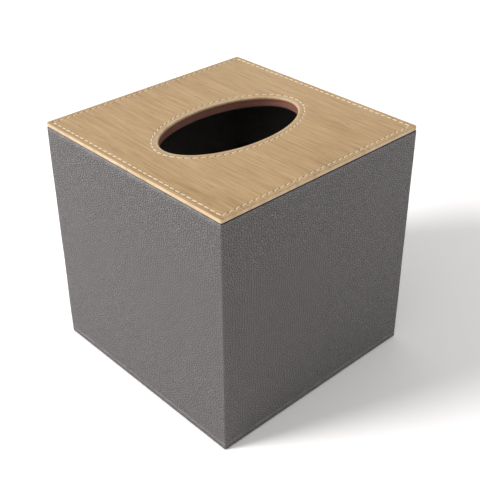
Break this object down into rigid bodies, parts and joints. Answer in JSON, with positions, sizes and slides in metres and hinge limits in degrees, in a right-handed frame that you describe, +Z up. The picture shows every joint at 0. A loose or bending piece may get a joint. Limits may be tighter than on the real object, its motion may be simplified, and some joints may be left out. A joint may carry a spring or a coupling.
{
  "type": "tissue box cover",
  "caption": "Cube cover for paper tissues: leathered boards, a stitched wood-grain pad with an oval opening, and a base flap on a leather hinge.",
  "frame": {"origin": "centre of the underside of the base, on the table", "axes": "+Z up, X along the long axis of the oval opening, -Y towards the front wall, the hinge along the back at +Y"},
  "size_m": [0.15, 0.15, 0.15],
  "materials": {
    "grey_leather": "fine pebble grain, satin",
    "woodgrain_leather": "printed wood grain, matt",
    "thread": "twisted sewing thread",
    "edge_band": "smooth, matt",
    "black_flannel": "brushed flannel",
    "fibreboard": "bare fibreboard",
    "card": "grey board",
    "magnet": "nickel plated",
    "keeper_steel": "rolled steel"
  },
  "bodies": {
    "base": {"base_board": "fibreboard", "base_cover": "grey_leather", "base_infill_card": "card", "base_liner": "black_flannel", "keeper_plates": "keeper_steel", "hinge_strip": "grey_leather"},
    "shell": {"back_liner": "black_flannel", "back_wall_board": "fibreboard", "closure_magnets": "magnet", "edge_stitches": "thread", "front_liner": "black_flannel", "front_wall_board": "fibreboard", "left_liner": "black_flannel", "left_wall_board": "fibreboard", "opening_edge_band": "edge_band", "opening_stitches": "thread", "right_liner": "black_flannel", "right_wall_board": "fibreboard", "top_board": "fibreboard", "top_infill_card": "card", "top_liner": "black_flannel", "top_pad_card": "card", "top_pad_leather": "woodgrain_leather", "wall_wrap": "grey_leather"}
  },
  "joints": [
    {"name": "base_hinge", "type": "hinge", "parent": "base", "child": "shell", "pos_m": [0, 0.07475, 0.004], "axis": [-1, 0, 0], "range_deg": [0, 92], "deforming": ["hinge_strip"]}
  ]
}
